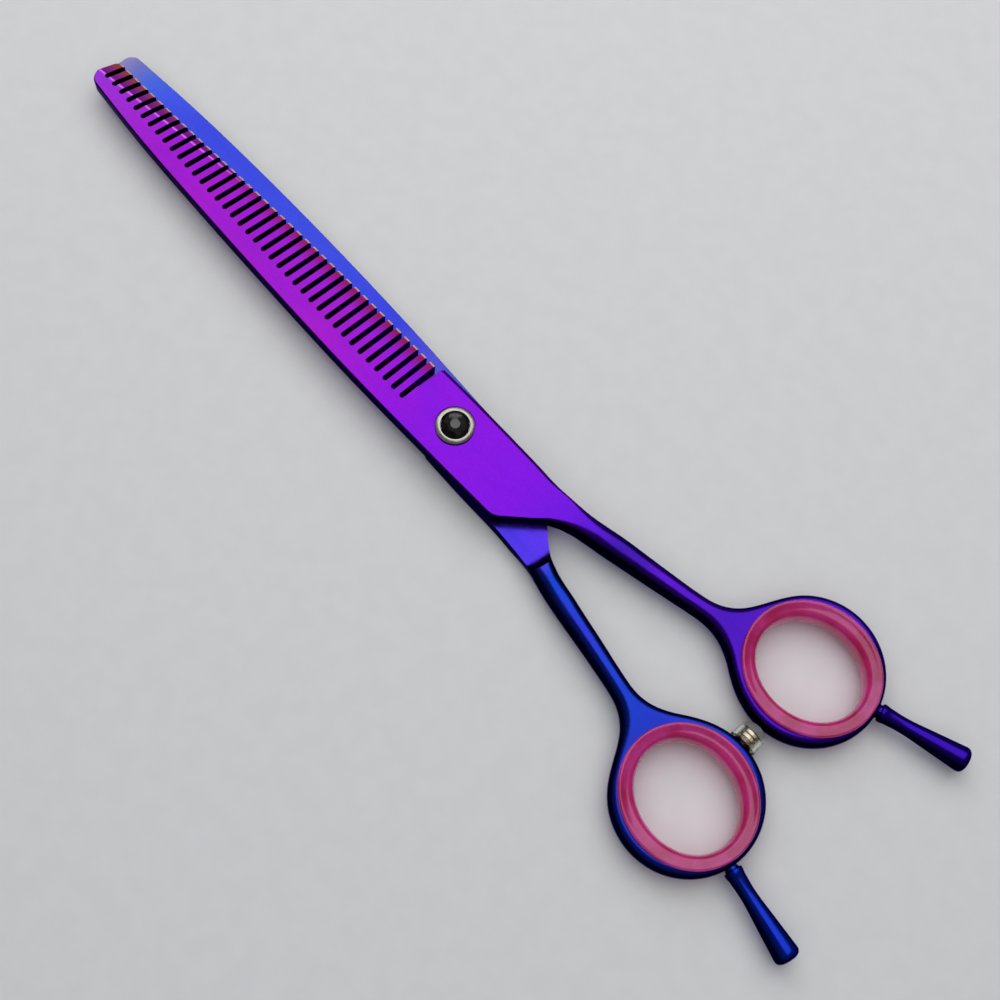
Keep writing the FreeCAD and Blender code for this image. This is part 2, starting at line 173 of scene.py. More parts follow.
def arc_run(a, via, b, steps=14):
    """Points along the circle through three points."""
    (ax, ay), (bx, by), (cx, cy) = a, via, b
    d = 2 * (ax * (by - cy) + bx * (cy - ay) + cx * (ay - by))
    sa, sb, sc = ax * ax + ay * ay, bx * bx + by * by, cx * cx + cy * cy
    centre = complex((sa * (by - cy) + sb * (cy - ay) + sc * (ay - by)) / d,
                     (sa * (cx - bx) + sb * (ax - cx) + sc * (bx - ax)) / d)
    start, end = complex(*a) - centre, complex(*b) - centre
    turn = np.angle(end / start)
    swept = [centre + start * np.exp(1j * turn * k / steps) for k in range(steps + 1)]
    return [(p.real, p.imag) for p in swept]


def side_line(*runs):
    """One side of a blade in plan: y as a function of x, from runs in order of x."""
    points = np.array([p for run in runs for p in run])
    keep = np.concatenate([[True], np.diff(points[:, 0]) > 1e-4])
    xs, ys = points[keep].T
    return lambda x: np.interp(x, xs, ys)


def blend_union(a, b, reach):
    """Union of two distances with a fillet that reaches that far along each."""
    near = np.maximum(reach - np.abs(a - b), 0) / reach
    return np.minimum(a, b) - near * near * reach / 4


def handle_field(p, shank, centre, turn):
    """Below zero inside the steel of a shank that spreads into its finger ring."""
    x, y, z = p[..., 0], p[..., 1], p[..., 2]
    side, width, low, high, power = (smooth(shank[:, 0], shank[:, k], x) for k in range(1, 6))
    wall = (RING_R - RING_WALL_IN) / 2
    in_ring = ease(-50, -60, x)
    shank_gap = np.maximum(np.abs(y - side) - width, -60 - x)
    ring_gap = np.abs(np.hypot(x - centre.x, y - centre.y) - (RING_R + RING_WALL_IN) / 2) - wall
    width = width + (wall - width) * in_ring
    middle = (low + high) / 2 + (MID_Z - (low + high) / 2) * in_ring
    tall = (high - low) / 2 + (RING_H / 2 - (high - low) / 2) * in_ring
    power = power + (RING_POWER - power) * in_ring
    across = np.maximum(0, 1 + blend_union(shank_gap, ring_gap, WEB_REACH) / width)
    body = ((across ** power + (np.abs(z - middle) / tall) ** power) ** (1 / power) - 1) * width
    angle = radians(turn)
    along = (x - centre.x) * cos(angle) + (y - centre.y) * sin(angle)
    over = (y - centre.y) * cos(angle) - (x - centre.x) * sin(angle)
    opening = (np.hypot(along / OPENING[0], over / OPENING[1]) - 1) * OPENING[1]
    return np.maximum(body, -opening)


def settle(points, field, rounds=5):
    """Move points onto the surface where the field is zero."""
    step = 1e-3
    for _ in range(rounds):
        slope = np.stack([(field(points + step * axis) - field(points - step * axis)) / (2 * step)
                          for axis in np.eye(3)], -1)
        move = field(points)[:, None] * slope / (np.sum(slope * slope, -1, keepdims=True) + 1e-6)
        points = points - np.clip(move, -0.15, 0.15)
    return points


def surface_net(field, low, high, step):
    """Points and quads of the surface where the field is zero, from a grid of cells."""
    axes = [np.arange(a, b, step) for a, b in zip(low, high)]
    grid = np.stack(np.meshgrid(*axes, indexing="ij"), -1)
    inside = field(grid) < 0
    nx, ny, nz = (n - 1 for n in inside.shape)
    count = sum(inside[i:i + nx, j:j + ny, k:k + nz].astype(int)
                for i in (0, 1) for j in (0, 1) for k in (0, 1))
    mixed = (count > 0) & (count < 8)
    index = np.full((nx, ny, nz), -1)
    index[mixed] = np.arange(mixed.sum())
    quads = []
    for axis in range(3):
        state, ids = np.moveaxis(inside, axis, 0), np.moveaxis(index, axis, 0)
        i, j, k = np.nonzero(state[:-1, 1:-1, 1:-1] != state[1:, 1:-1, 1:-1])
        quads.append(np.stack([ids[i, j, k], ids[i, j + 1, k], ids[i, j + 1, k + 1], ids[i, j, k + 1]], -1))
    quads = np.concatenate(quads)
    points = settle(grid[:-1, :-1, :-1][mixed] + step / 2, field)
    for _ in range(3):
        total, weight = np.zeros_like(points), np.zeros(len(points))
        for a, b in ((0, 1), (1, 2), (2, 3), (3, 0)):
            for one, other in ((quads[:, a], quads[:, b]), (quads[:, b], quads[:, a])):
                np.add.at(total, one, points[other])
                np.add.at(weight, one, 1)
        points = settle((points + total / weight[:, None]) / 2, field, 2)
    return points, quads


# ---- meshes ----

def finish_mesh(bm, name, angle=SHARP_ANGLE):
    """Object from a mesh in millimetres, with its sharp edges marked."""
    bmesh.ops.recalc_face_normals(bm, faces=bm.faces)
    mesh = bpy.data.meshes.new(name)
    bm.to_mesh(mesh)
    bm.free()
    mesh.transform(Matrix.Scale(MM, 4))
    return link(mesh, name, angle)


def link(mesh, name, angle=SHARP_ANGLE):
    mesh.shade_smooth()
    mesh.set_sharp_from_angle(angle=radians(angle))
    piece = bpy.data.objects.new(name, mesh)
    bpy.context.scene.collection.objects.link(piece)
    return piece


def add_loops(bm, loops):
    """Skin of quads through closed loops of points; returns the first and last loop."""
    made = [[bm.verts.new(p) for p in loop] for loop in loops]
    for a, b in zip(made, made[1:]):
        for k in range(len(a)):
            n = (k + 1) % len(a)
            bm.faces.new((a[k], a[n], b[n], b[k]))
    return made[0], made[-1]


def prism(name, outline, low, high):
    """Closed block over a plan outline."""
    bm = bmesh.new()
    first, last = add_loops(bm, [[(x, y, z) for x, y in outline] for z in (low, high)])
    bm.faces.new(first)
    bm.faces.new(last)
    return finish_mesh(bm, name)


def disc(radius, steps=96, flat=None):
    """Plan outline of a circle, cut to two flats where flat is given."""
    points = [(radius * cos(2 * pi * k / steps), radius * sin(2 * pi * k / steps)) for k in range(steps)]
    return [(x, max(-flat, min(flat, y))) for x, y in points] if flat else points


def turned(name, outline, origin=(0, 0, 0), direction=(0, 0, 1), steps=64, angle=SHARP_ANGLE):
    """Solid turned about an axis from (distance along, radius) points that start and end on the axis."""
    spin = Vector((0, 0, 1)).rotation_difference(Vector(direction)).to_matrix()
    origin = Vector(origin)
    bm = bmesh.new()
    loops = []
    for along, radius in outline[1:-1]:
        turns = [2 * pi * k / steps for k in range(steps)]
        loops.append([origin + spin @ Vector((radius * cos(a), radius * sin(a), along)) for a in turns])
    first, last = add_loops(bm, loops)
    for loop, (along, _) in ((first, outline[0]), (last, outline[-1])):
        tip = bm.verts.new(origin + spin @ Vector((0, 0, along)))
        for k in range(steps):
            bm.faces.new((tip, loop[k], loop[(k + 1) % steps]))
    return finish_mesh(bm, name, angle)


def flatten(piece):
    """Turn a piece's modifiers into its plain mesh."""
    bpy.context.view_layer.update()
    mesh = bpy.data.meshes.new_from_object(piece.evaluated_get(bpy.context.evaluated_depsgraph_get()))
    piece.modifiers.clear()
    piece.data = mesh
    return piece


def cut(piece, *cutters):
    """Cut closed shapes out of a piece."""
    for cutter in cutters:
        tool = piece.modifiers.new(cutter.name, "BOOLEAN")
        tool.object = cutter
        tool.operation = "DIFFERENCE"
        tool.solver = "EXACT"
    flatten(piece)
    for cutter in cutters:
        bpy.data.objects.remove(cutter)
    return piece


def even_shading(piece):
    """Normals weighted by face area, so flat faces stay flat beside their rounded edges."""
    piece.data.shade_smooth()
    piece.data.set_sharp_from_angle(angle=radians(SHARP_ANGLE))
    weighted = piece.modifiers.new("even_shading", "WEIGHTED_NORMAL")
    weighted.keep_sharp = True
    return flatten(piece)


# ---- blade sections ----

def corner(y, z, reach_y, reach_z, power, side_y, side_z):
    """Rounded corner of a section, in the order that goes round the section."""
    angles = np.radians(np.linspace(0, 90, 7))
    if side_y * side_z < 0:
        angles = angles[::-1]
    c = np.clip(np.cos(angles), 0, 1) ** (2 / power)
    s = np.clip(np.sin(angles), 0, 1) ** (2 / power)
    return [(y - side_y * reach_y * (1 - a), z - side_z * reach_z * (1 - b)) for a, b in zip(c, s)]


def shank_round(x, shank, width, height):
    """Corner reach across and up, and squareness, between a round shank and a crisp blade."""
    share = ease(-20.5, -31, x)
    power = 2 + (smooth(shank[:, 0], shank[:, 5], x) - 2) * ease(-30, SEAM_X, x)
    reach_y = EDGE_ROUND + (0.97 * width / 2 - EDGE_ROUND) * share
    reach_z = EDGE_ROUND + (0.97 * height / 2 - EDGE_ROUND) * share
    return reach_y, reach_z, float(power)


def toothed_section(x, near, far):
    """Section of the toothed half before its slots are cut; near is the side of the tooth tips."""
    y_near, y_far = near(x), far(x)
    low = smooth(TOOTHED_SHANK[:, 0], TOOTHED_SHANK[:, 3], x) if x < -15 else UPPER_Z
    top = smooth(TOOTHED_SHANK[:, 0], TOOTHED_SHANK[:, 4], x) - TAPER * max(0, x - TAPER_START_X)
    width, height = y_far - y_near, top - low
    ry, rz, power = shank_round(x, TOOTHED_SHANK, width, height)
    limit = 0.3 * width
    ry = min(ry, limit) if x > -20 else ry
    straight = x > FIRST_TOOTH_X - 0.01
    chamfer = min(TOOTH_CHAMFER, limit) if straight else ry + 0.8 * ease(-24, -17, x)
    ridge = (BEVEL_START[1] + (x - BEVEL_START[0]) * (BEVEL_END[1] - BEVEL_START[1])
             / (TIP_X - BEVEL_START[0]))
    drop = max(0, ridge - y_near - chamfer) * BEVEL_DROP if x > BEVEL_START[0] else 0
    ridge = min(max(ridge, y_near + 1.3 * chamfer), y_far - 1.3 * ry) if x > 9 else (y_near + y_far) / 2
    near_rz = chamfer if straight else rz + 0.8 * (chamfer - ry)
    loop = corner(y_far, top, ry, rz, power, 1, 1) + [(ridge, top)]
    loop += corner(y_near, top - drop, chamfer, near_rz, 1 if straight else power, -1, 1)
    small = 0.2 if x > -20 else 1
    loop += corner(y_near, low, ry * small, rz * small, power, -1, -1)
    loop += corner(y_far, low, ry * small, rz * small, power, 1, -1)
    return [(x, y, z) for y, z in loop]


def plain_section(x, near, far):
    """Section of the plain half; far is the side of the cutting edge."""
    y_near, y_far = near(x), far(x)
    low = smooth(PLAIN_SHANK[:, 0], PLAIN_SHANK[:, 3], x) + TAPER * max(0, x - TAPER_START_X)
    top = smooth(PLAIN_SHANK[:, 0], PLAIN_SHANK[:, 4], x) if x < -15 else RIDE_Z
    width, height = y_far - y_near, top - low
    ry, rz, power = shank_round(x, PLAIN_SHANK, width, height)
    limit = 0.3 * width
    ry = min(ry, limit) if x > -20 else ry
    ground = ease(9.5, 12.5, x)
    bevel_z = EDGE_ROUND + (height - EDGE_LAND - EDGE_ROUND) * ground
    bevel_y = EDGE_ROUND + ((height - EDGE_LAND) * EDGE_SLOPE - EDGE_ROUND) * ground
    bevel_y = min(bevel_y, 0.45 * width)
    land = 1 - 0.85 * ease(6, 9.5, x)
    small = 0.25 if x > -20 else 1
    loop = corner(y_far, top, ry * small * land, rz * small * land, power, 1, 1)
    loop.append(((y_near + y_far) / 2, top))
    loop += corner(y_near, top, ry * small, rz * small, power, -1, 1)
    loop += corner(y_near, low, ry, rz, power, -1, -1)
    if x > 9.5:
        loop += corner(y_far, low, bevel_y, bevel_z, 2 - ground, 1, -1)
    else:
        loop += corner(y_far, low, ry, rz, power, 1, -1)
    return [(x, y, z) for y, z in loop]


def half_body(name, sections, shank, centre, turn):
    """One steel half: lofted blade and shank, and a ring that flows out of the shank."""
    field = lambda p: handle_field(p, shank, centre, turn)
    low = (centre.x - RING_R - 1, min(centre.y - RING_R, shank[4, 1] - 3) - 1, 0)
    high = (SEAM_X + 1, max(centre.y + RING_R, shank[4, 1] + 3) + 1, TOP_Z + 1)
    points, quads = surface_net(field, low, high, GRID_STEP)
    bm = bmesh.new()
    made = [bm.verts.new(p) for p in points]
    for quad in quads:
        bm.faces.new([made[k] for k in quad])
    bmesh.ops.bisect_plane(bm, geom=bm.verts[:] + bm.edges[:] + bm.faces[:], dist=1e-4,
                           plane_co=(SEAM_X - GRID_STEP, 0, 0), plane_no=(1, 0, 0), clear_outer=True)
    bm.faces.new(add_loops(bm, sections)[1])
    bmesh.ops.bridge_loops(bm, edges=[e for e in bm.edges if e.is_boundary])
    return finish_mesh(bm, name)


def step_room(face_z, away):
    """Room for the other half's ricasso, turned about the pivot, with a hollow outer wall.

    face_z is the blade's inner face, and away is 1 where the other half lies above it, or -1."""
    hollow = [(STEP_R + STEP_FILLET * sin(radians(a)), face_z + away * STEP_FILLET * (1 - cos(radians(a))))
              for a in range(0, 91, 3)]
    profile = [(14, face_z), *hollow, (STEP_R + STEP_FILLET, face_z + away * 8), (14, face_z + away * 8)]
    bm = bmesh.new()
    first, last = add_loops(bm, [[(r * cos(radians(a)), r * sin(radians(a)), z) for r, z in profile]
                                 for a in range(125, 236)])
    bm.faces.new(first)
    bm.faces.new(last)
    return finish_mesh(bm, "step_room")


# ---- node trees ----

def feed(made, inputs):
    """Link or set a node's inputs by name or place."""
    for key, value in dict(inputs).items():
        if isinstance(value, bpy.types.NodeSocket):
            made.id_data.links.new(value, made.inputs[key])
        else:
            made.inputs[key].default_value = value


def node(tree, kind, inputs=(), **settings):
    """Add a node, set its properties, and feed its inputs."""
    made = tree.nodes.new(kind)
    for key, value in settings.items():
        setattr(made, key, value)
    feed(made, inputs)
    return made


def calc(tree, operation, *values):
    return node(tree, "ShaderNodeMath", enumerate(values), operation=operation).outputs[0]


def product(tree, value, *others):
    for other in others:
        value = calc(tree, "MULTIPLY", value, other)
    return value


def span(tree, value, low, high, to_low=0.0, to_high=1.0, kind="SMOOTHSTEP"):
    """Value read from one range into another, held at its ends."""
    return node(tree, "ShaderNodeMapRange", enumerate((value, low, high, to_low, to_high)),
                interpolation_type=kind).outputs[0]


def mix(tree, share, first, second, blend="MIX"):
    return node(tree, "ShaderNodeMix", {0: share, 6: first, 7: second}, data_type="RGBA",
                blend_type=blend).outputs[2]


def grain(tree, place, scale, detail=2.0, stretch=(1, 1, 1)):
    """Noise on object coordinates, stretched along the given axes."""
    mapping = node(tree, "ShaderNodeMapping", {0: place, 3: stretch})
    inputs = {"Vector": mapping.outputs[0], "Scale": scale, "Detail": detail}
    return node(tree, "ShaderNodeTexNoise", inputs).outputs[0]


def bump(tree, strength, distance, height, **under):
    """Bumped normal, over another one where Normal is given."""
    inputs = {"Strength": strength, "Distance": distance, "Height": height, **under}
    return node(tree, "ShaderNodeBump", inputs).outputs[0]


def object_normal(tree):
    world = node(tree, "ShaderNodeNewGeometry").outputs["Normal"]
    return node(tree, "ShaderNodeVectorTransform", {0: world}, vector_type="NORMAL", convert_from="WORLD",
                convert_to="OBJECT").outputs[0]


def srgb(r, g, b):
    """Linear colour from 0-255 display values."""
    return tuple(c / 12.92 if c <= 0.04045 else ((c + 0.055) / 1.055) ** 2.4
                 for c in (r / 255, g / 255, b / 255))


def opaque(colour):
    return (*colour, 1.0)


def darker(colour, share):
    return opaque([c * share for c in colour])


def new_material(name):
    """Material with a cleared tree, its Principled shader and its object coordinates."""
    material = bpy.data.materials.new(name)
    material.use_nodes = True
    tree = material.node_tree
    tree.nodes.clear()
    shader = node(tree, "ShaderNodeBsdfPrincipled")
    output = node(tree, "ShaderNodeOutputMaterial")
    tree.links.new(shader.outputs[0], output.inputs[0])
    return material, tree, shader, node(tree, "ShaderNodeTexCoord").outputs["Object"]


def ramp(tree, factor, stops):
    made = node(tree, "ShaderNodeValToRGB", {0: factor})
    ends = made.color_ramp.elements
    ends[0].position, ends[0].color = stops[0][0], opaque(stops[0][1])
    ends[1].position, ends[1].color = stops[-1][0], opaque(stops[-1][1])
    for position, colour in stops[1:-1]:
        ends.new(position).color = opaque(colour)
    return made.outputs[0]


def between(tree, value, low, high, soft):
    """One inside the range and zero outside it, with soft ends."""
    return product(tree, span(tree, value, low - soft, low + soft), span(tree, value, high + soft, high - soft))


def coated_steel(name, stops, side_shade_colour, cloud_colour):
    """Satin titanium-coated steel whose tint shifts along the tool, with painted shade on its steep sides.

    Returns the material, its shader and what the extra tints, painted shade and painted highlights of a blade
    are made from."""
    material, tree, shader, place = new_material(name)
    x, y, z = node(tree, "ShaderNodeSeparateXYZ", {0: place}).outputs
    drift = product(tree, calc(tree, "SUBTRACT", grain(tree, place, 45, 3), 0.5), 0.05)
    along = calc(tree, "ADD", span(tree, x, -0.1, 0.1, kind="LINEAR"), drift)
    colour = ramp(tree, along, [((at + 100) / 200, tint) for at, tint in stops])
    cloud = grain(tree, place, 75, 2, (0.6, 1, 1))
    clouded = product(tree, span(tree, cloud, 0.44, 0.68, 0, 0.7), span(tree, x, 0.034, 0.012, 0.25, 1))
    colour = mix(tree, clouded, colour, opaque(cloud_colour))
    across, up = node(tree, "ShaderNodeSeparateXYZ", {0: object_normal(tree)}).outputs[1:]
    # painted shade: faces that tilt far from flat fade to the dark side shade colour, wherever the light falls
    lit_share = span(tree, calc(tree, "ABSOLUTE", up), 0.6, 0.985)
    colour = mix(tree, lit_share, opaque(side_shade_colour), colour)
    sparkle = grain(tree, place, 5200, 1)
    fine = bump(tree, 0.1, 0.00002, sparkle)
    colour = mix(tree, span(tree, sparkle, 0.35, 0.75, 0.0, 0.22), colour, (1, 0.85, 1, 1), "SOFT_LIGHT")
    feed(shader, {
        "Base Color": colour, "Metallic": 1.0, "Specular Tint": (0.3, 0.24, 0.5, 1),
        "Roughness": span(tree, grain(tree, place, 700, 3, (0.25, 1, 1)), 0.3, 0.7, 0.2, 0.28),
        "Normal": bump(tree, 0.06, 0.00002, grain(tree, place, 2600, 2, (0.03, 1, 1)), Normal=fine)})
    return material, shader, (tree, x, y, z, across, up, colour)


def tint_teeth(shader, parts, tooth_tips):
    """Heat tint along the teeth, painted shade on the slot walls and the tip's bevel, a painted highlight along
    the bevel's ridge and painted glints on the ends of the teeth.
    """
    tree, x, y, _, across, up, colour = parts
    on_teeth = span(tree, x, 0.0088, 0.0094)
    flat = span(tree, up, 0.6, 0.9)
    # painted shade: steep walls of the teeth take a dark maroon
    slot_shade = product(tree, span(tree, y, 0.0036, 0.0034), on_teeth,
                       span(tree, calc(tree, "ABSOLUTE", up), 0.3, 0.1))
    colour = mix(tree, slot_shade, colour, opaque(SLOT_SHADE_COLOUR))
    share = product(tree, span(tree, y, -0.0008, -0.0048), on_teeth, flat)
    colour = mix(tree, share, colour, opaque(tooth_tips))
    rise = (BEVEL_END[1] - BEVEL_START[1]) / (BEVEL_END[0] - BEVEL_START[0])
    ridge = calc(tree, "MULTIPLY_ADD", x, rise, (BEVEL_START[1] - rise * BEVEL_START[0]) * MM)
    below = calc(tree, "SUBTRACT", ridge, y)
    on_bevel = product(tree, span(tree, x, 0.0555, 0.0585), flat, span(tree, below, 0, 0.0003))
    # painted shade on the tilted bevel below its ridge, turning to a brown heat tint towards the tips
    bevel_shade_and_tint = mix(tree, span(tree, below, 0.0004, 0.0032), opaque(srgb(112, 26, 128)), opaque(srgb(140, 58, 52)))
    colour = mix(tree, on_bevel, colour, bevel_shade_and_tint)
    # painted highlight: a bright lilac line along the bevel's ridge
    ridge_highlight = product(tree, between(tree, below, -0.0002, 0.0001, 0.00015), span(tree, x, 0.0555, 0.07), flat)
    colour = mix(tree, ridge_highlight, colour, opaque(srgb(212, 112, 232)))
    # painted glint: cream on the up-facing chamfers at the tooth ends
    glint = product(tree, span(tree, across, -0.45, -0.6), span(tree, up, 0.4, 0.6), on_teeth)
    feed(shader, {"Base Color": mix(tree, glint, colour, opaque(srgb(255, 222, 184)))})


def bare_edge(shader, parts):
    """Bright ground strip beside the cutting edge, widest at the pivot."""
    tree, x, y, z, _, _, colour = parts
    inner = span(tree, x, 0.0105, 0.032, -0.0012, -0.0004, "LINEAR")
    strip = product(tree, span(tree, calc(tree, "SUBTRACT", y, inner), -0.0001, 0.0001),
                    span(tree, z, 0.0026, 0.0030), between(tree, x, 0.0095, 0.036, 0.0008))
    feed(shader, {"Base Color": mix(tree, strip, colour, opaque(srgb(232, 232, 226))),
                  "Metallic": span(tree, strip, 0, 1, 1, 0.25)})


def bright_steel(name, colour, rough_low, rough_high, scale=1800, stretch=(1, 1, 1)):
    """Bare or plated metal with fine tooling marks."""
    material, tree, shader, place = new_material(name)
    marks = grain(tree, place, scale, 3, stretch)
    stain = span(tree, grain(tree, place, 260, 3), 0.35, 0.7)
    feed(shader, {"Base Color": mix(tree, stain, opaque(colour), darker(colour, 0.78)), "Metallic": 1.0,
                  "Roughness": span(tree, marks, 0.3, 0.7, rough_low, rough_high),
                  "Normal": bump(tree, 0.12, 0.00003, marks)})
    return material


def silicone(name, colour, deep_colour, rough, transmission):
    """Soft translucent silicone with a faint moulded skin and cloudy depth, and its shader."""
    material, tree, shader, place = new_material(name)
    cloud = span(tree, grain(tree, place, 190, 3), 0.32, 0.68)
    skin = grain(tree, place, 2400, 2)
    soft = bump(tree, 0.18, 0.00025, grain(tree, place, 420, 2))
    feed(shader, {"Base Color": mix(tree, cloud, opaque(colour), opaque(deep_colour)), "IOR": 1.41,
                  "Transmission Weight": transmission,
                  "Roughness": span(tree, skin, 0.3, 0.7, rough, rough + 0.10),
                  "Normal": bump(tree, 0.05, 0.00003, skin, Normal=soft)})
    return material, shader


def black_stone(name, colour):
    """Dark glassy stone: a plain table and one facet given a painted highlight by raised reflectivity, and deep
    facets all round.
    """
    material, tree, shader, place = new_material(name)
    depth = span(tree, grain(tree, place, 900, 3), 0.35, 0.7)
    normal = object_normal(tree)
    # painted highlight: the table and the facet facing STONE_GLINT reflect far more strongly
    table = span(tree, node(tree, "ShaderNodeSeparateXYZ", {0: normal}).outputs[2], 0.99, 0.998)
    towards = node(tree, "ShaderNodeVectorMath", {0: normal, 1: STONE_GLINT}, operation="DOT_PRODUCT")
    painted_glint = calc(tree, "MAXIMUM", table, span(tree, towards.outputs["Value"], 0.965, 0.985, 0, 0.7))
    deep = opaque([c * 3 + 0.004 for c in colour])
    feed(shader, {"Base Color": mix(tree, depth, opaque(colour), deep), "IOR": 1.7,
                  "Roughness": span(tree, grain(tree, place, 5000, 2), 0.3, 0.7, 0.05, 0.12),
                  "Specular IOR Level": calc(tree, "MULTIPLY_ADD", painted_glint, 0.75, 0.06)})
    return material


def moulded_plastic(name, colour, rough):
    """Plain moulded plastic with a fine matt texture."""
    material, tree, shader, place = new_material(name)
    skin = grain(tree, place, 3000, 3)
    feed(shader, {"Base Color": mix(tree, span(tree, skin, 0.3, 0.7), opaque(colour), darker(colour, 0.8)),
                  "Roughness": span(tree, skin, 0.3, 0.7, rough, rough + 0.12),
                  "Normal": bump(tree, 0.15, 0.00003, skin)})
    return material


def dress(piece, material):
    piece.data.materials.clear()
    piece.data.materials.append(material)
    return piece


def place_piece(piece, body, slot, *nodes):
    """Ride on a body and stand for CAD nodes; the slot argument is not used."""
    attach(piece, body)
    if nodes:
        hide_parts(*nodes)


# ---- settings ----

class ShearsTeeth(PropertyGroup):
    slot_count: IntProperty(name="Slots", description="Slots cut between the teeth", default=39, min=1)
    pitch: FloatProperty(name="Pitch", description="From one slot to the next", default=0.002163, unit="LENGTH")
    last_slot: FloatProperty(name="Last slot", description="Slot nearest the tip, from the pivot",
                             default=0.09235, unit="LENGTH")
    slot_width: FloatProperty(name="Slot width", description="Width of each slot", default=0.001, unit="LENGTH")
    root: FloatProperty(name="Slot root", description="Closed end of the slots, beside the pivot",
                        default=0.00342, unit="LENGTH")
    lean_tip: FloatProperty(name="Lean at tip", description="Lean of the slot at the tip", default=radians(9.8),
                            subtype="ANGLE")
    lean_pivot: FloatProperty(name="Lean at pivot", description="Lean of the slot at the pivot",
                              default=radians(1.4), subtype="ANGLE")


class ShearsFinish(PropertyGroup):
    violet: FloatVectorProperty(name="Violet coating", description="Coating of the toothed blade",
                                subtype="COLOR", default=srgb(158, 31, 194))
    blue: FloatVectorProperty(name="Blue coating", description="Coating of the plain blade", subtype="COLOR",
                              default=srgb(60, 75, 216))
    tooth_tips: FloatVectorProperty(name="Tooth tips", description="Heat tint at the tooth tips",
                                    subtype="COLOR", default=srgb(140, 28, 84))
    pink: FloatVectorProperty(name="Inserts", description="Soft finger inserts", subtype="COLOR",
                              default=srgb(252, 62, 166))
    stone: FloatVectorProperty(name="Stone", description="Stone in the pivot screw", subtype="COLOR",
                               default=srgb(8, 8, 9))
    floor: FloatVectorProperty(name="Floor", description="Pale floor", subtype="COLOR",
                               default=srgb(244, 244, 246))
    light_power: FloatProperty(name="Light", description="Power of the soft overhead light", default=2.5,
                               unit="POWER")
    fill_power: FloatProperty(name="Fill", description="Power of the shadow-filling light", default=2.2,
                              unit="POWER")


# ---- the toothed blade's slots ----

def slot_tree(material):
    """Geometry Nodes that cut a fan of round-ended slots into a blade."""
    tree = bpy.data.node_groups.new("toothed_blade_slots", "GeometryNodeTree")
    face = tree.interface
    face.new_socket("Blade", in_out="INPUT", socket_type="NodeSocketGeometry")
    face.new_socket("Slots", in_out="INPUT", socket_type="NodeSocketInt")
    for name in ("Pitch", "Last slot", "Slot width", "Root", "Lean at tip", "Lean at pivot", "Taper start",
                 "Root drop", "Cutter length", "Middle height"):
        face.new_socket(name, in_out="INPUT", socket_type="NodeSocketFloat")
    face.new_socket("Blade", in_out="OUTPUT", socket_type="NodeSocketGeometry")
    given = node(tree, "NodeGroupInput").outputs
    index = node(tree, "GeometryNodeInputIndex").outputs[0]
    share = calc(tree, "DIVIDE", index, calc(tree, "SUBTRACT", given["Slots"], 1.0))
    lean_change = calc(tree, "SUBTRACT", given["Lean at pivot"], given["Lean at tip"])
    lean = calc(tree, "ADD", given["Lean at tip"], product(tree, share, lean_change))
    x = calc(tree, "SUBTRACT", given["Last slot"], product(tree, index, given["Pitch"]))
    beyond = calc(tree, "SUBTRACT", x, given["Taper start"])
    dropped = product(tree, given["Root drop"], product(tree, beyond, beyond))
    radius = product(tree, given["Slot width"], 0.5)
    root = calc(tree, "SUBTRACT", calc(tree, "SUBTRACT", given["Root"], dropped), radius)
    at = node(tree, "ShaderNodeCombineXYZ", {
        0: calc(tree, "ADD", x, product(tree, root, calc(tree, "SINE", lean))),
        1: product(tree, root, calc(tree, "COSINE", lean)), 2: given["Middle height"]})
    points = node(tree, "GeometryNodePoints", {"Count": given["Slots"], "Position": at.outputs[0]})
    cutter = node(tree, "GeometryNodeMeshCylinder", {"Vertices": 20, "Radius": radius, "Depth": 0.008})
    position = node(tree, "ShaderNodeSeparateXYZ", {0: node(tree, "GeometryNodeInputPosition").outputs[0]})
    open_end = node(tree, "FunctionNodeCompare", {0: position.outputs[1], 1: -0.000001}, operation="LESS_THAN")
    away = node(tree, "ShaderNodeCombineXYZ", {1: product(tree, given["Cutter length"], -1.0)})
    stretched = node(tree, "GeometryNodeSetPosition", {
        "Geometry": cutter.outputs["Mesh"], "Selection": open_end.outputs[0], "Offset": away.outputs[0]})
    spin = node(tree, "ShaderNodeCombineXYZ", {2: product(tree, lean, -1.0)})
    turn = node(tree, "FunctionNodeEulerToRotation", {0: spin.outputs[0]})
    fan = node(tree, "GeometryNodeInstanceOnPoints", {
        "Points": points.outputs[0], "Instance": stretched.outputs[0], "Rotation": turn.outputs[0]})
    solid_fan = node(tree, "GeometryNodeRealizeInstances", {0: fan.outputs[0]})
    slotted = node(tree, "GeometryNodeMeshBoolean", {0: given["Blade"], 1: solid_fan.outputs[0]},
                   operation="DIFFERENCE", solver="EXACT")
    real = node(tree, "GeometryNodeRealizeInstances", {0: slotted.outputs[0]})
    dressed = node(tree, "GeometryNodeSetMaterial", {0: real.outputs[0], "Material": material})
    tree.links.new(dressed.outputs[0], node(tree, "NodeGroupOutput").inputs[0])
    return tree


def cut_slots(piece, teeth, material):
    slots = piece.modifiers.new("slots", "NODES")
    slots.node_group = slot_tree(material)
    sizes = {"Slots": teeth.slot_count, "Pitch": teeth.pitch, "Last slot": teeth.last_slot,
             "Slot width": teeth.slot_width, "Root": teeth.root, "Lean at tip": teeth.lean_tip,
             "Lean at pivot": teeth.lean_pivot, "Taper start": TAPER_START_X * MM, "Root drop": 0.32,
             "Cutter length": 0.009, "Middle height": 0.0064}
    for item in slots.node_group.interface.items_tree:
        if item.in_out == "INPUT" and item.name in sizes:
            slots[item.identifier] = sizes[item.name]
    return flatten(piece)


# ---- operators ----

